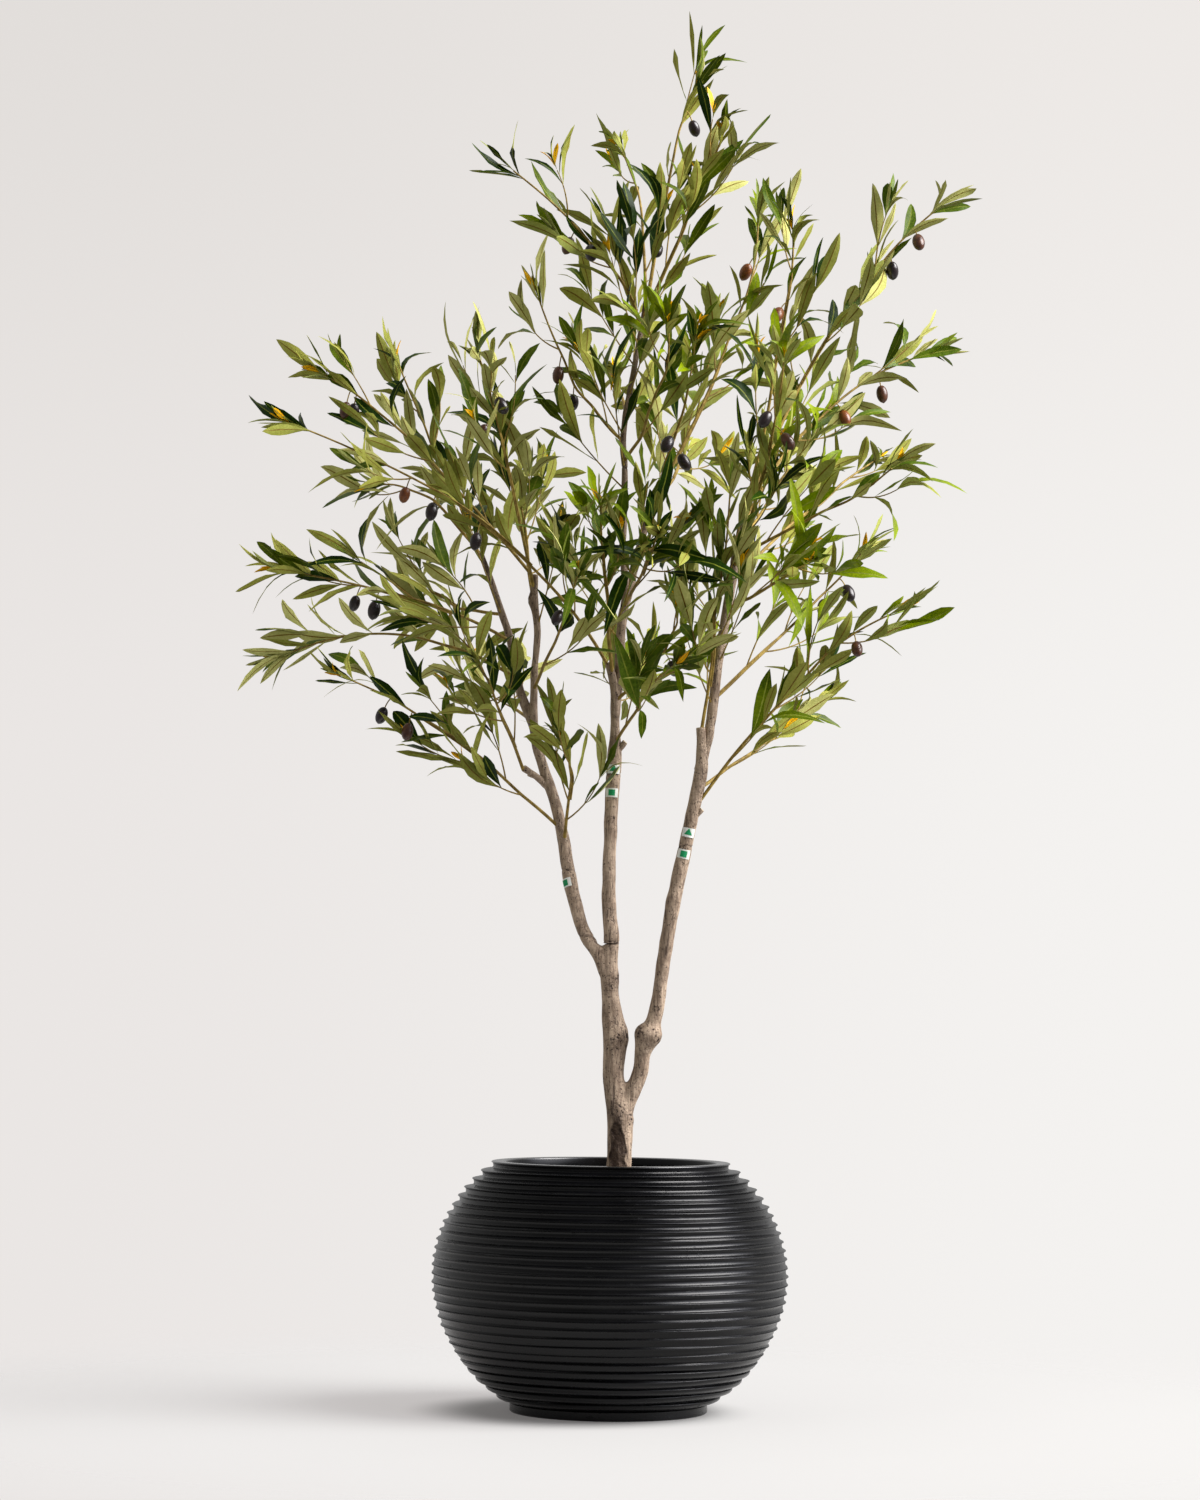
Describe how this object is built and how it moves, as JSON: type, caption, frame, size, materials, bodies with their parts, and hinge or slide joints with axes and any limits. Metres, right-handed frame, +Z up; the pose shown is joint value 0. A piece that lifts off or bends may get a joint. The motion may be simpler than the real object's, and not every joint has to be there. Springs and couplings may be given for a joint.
{
  "type": "artificial olive tree in a planter",
  "caption": "Artificial olive tree with a forked trunk, tapering limbs and open leafy sprays, standing in a squat ribbed round planter",
  "frame": {"origin": "centre of the planter's flat underside, on the floor", "axes": "+Z up along the trunk, +X to the right of the picture, -Y towards the camera"},
  "size_m": [1.0511, 0.7483, 1.9921],
  "materials": {
    "black_resin": "satin black resin with turned ribs",
    "dark_filler": "dark loose bark filler",
    "bark": "matt taupe bark with dark flecks",
    "leaf_deep": "printed fabric leaf, deep green",
    "leaf_mid": "printed fabric leaf, olive green",
    "leaf_pale": "printed fabric leaf, sage green"
  },
  "bodies": {
    "root": {"foliage_centre_back": "leaf_pale", "foliage_centre_front": "leaf_deep", "foliage_centre_rise": "leaf_mid", "foliage_crown_back": "leaf_mid", "foliage_crown_left": "leaf_deep", "foliage_crown_right": "leaf_deep", "foliage_crown_top": "leaf_pale", "foliage_leader_back": "leaf_pale", "foliage_leader_front": "leaf_mid", "foliage_leader_left": "leaf_deep", "foliage_left_back_low": "leaf_pale", "foliage_left_far_back": "leaf_pale", "foliage_left_hanging": "leaf_mid", "foliage_left_high_fan": "leaf_mid", "foliage_left_high_reach": "leaf_deep", "foliage_left_inner_back": "leaf_deep", "foliage_left_inner_front": "leaf_mid", "foliage_left_inner_up": "leaf_pale", "foliage_left_low": "leaf_deep", "foliage_left_reach_high": "leaf_mid", "foliage_left_reach_low": "leaf_deep", "foliage_left_side_front": "leaf_pale", "foliage_left_top_back": "leaf_mid", "foliage_left_top_mid": "leaf_deep", "foliage_middle_back_low": "leaf_pale", "foliage_middle_nub_front": "leaf_deep", "foliage_middle_right_low": "leaf_mid", "foliage_middle_stub_front": "leaf_pale", "foliage_right_front": "leaf_mid", "foliage_right_high_reach": "leaf_deep", "foliage_right_low": "leaf_pale", "foliage_right_low_back": "leaf_deep", "foliage_right_mid": "leaf_mid", "foliage_right_out_back": "leaf_deep", "foliage_right_out_front": "leaf_pale", "foliage_right_reach": "leaf_mid", "foliage_right_rise_back": "leaf_mid", "foliage_right_rise_front": "leaf_pale", "foliage_right_stub_up": "leaf_mid", "foliage_right_top_back": "leaf_deep", "foliage_right_top_front": "leaf_pale", "leader_bough": "bark", "left_bough_inner": "bark", "left_bough_outer": "bark", "left_limb": "bark", "left_limb_upper": "bark", "middle_bough": "bark", "middle_limb": "bark", "middle_limb_upper": "bark", "planter": "black_resin", "planter_fill": "dark_filler", "right_bough": "bark", "right_limb": "bark", "right_limb_upper": "bark", "trunk": "bark"}
  },
  "joints": []
}
